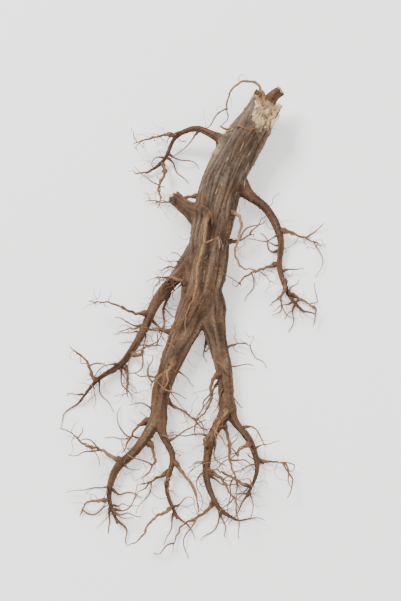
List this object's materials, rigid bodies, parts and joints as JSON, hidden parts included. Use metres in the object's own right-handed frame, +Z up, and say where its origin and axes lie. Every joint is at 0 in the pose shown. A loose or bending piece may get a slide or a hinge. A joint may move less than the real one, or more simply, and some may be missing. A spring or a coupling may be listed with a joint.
{
  "type": "dried ginseng root",
  "caption": "Whole dried ginseng root lying on its side: stout furrowed body with a pale torn crown, forked legs, side roots and curly wiry rootlets.",
  "frame": {"origin": "middle of the flat spot under the root's weight, on the surface that it rests on", "axes": "+Y towards the crown, +Z up from the surface, +X to the right seen from above with the crown at the top"},
  "size_m": [0.068, 0.1454, 0.0174],
  "materials": {
    "dried_bark": "matt dried bark, grey-brown with paler dusty ridges",
    "bare_wood": "pale fibrous wood where the crown is torn",
    "rootlet_skin": "orange-tan wiry rootlets, slightly satin"
  },
  "bodies": {
    "root": {"ginseng_root": "dried_bark"}
  },
  "joints": []
}
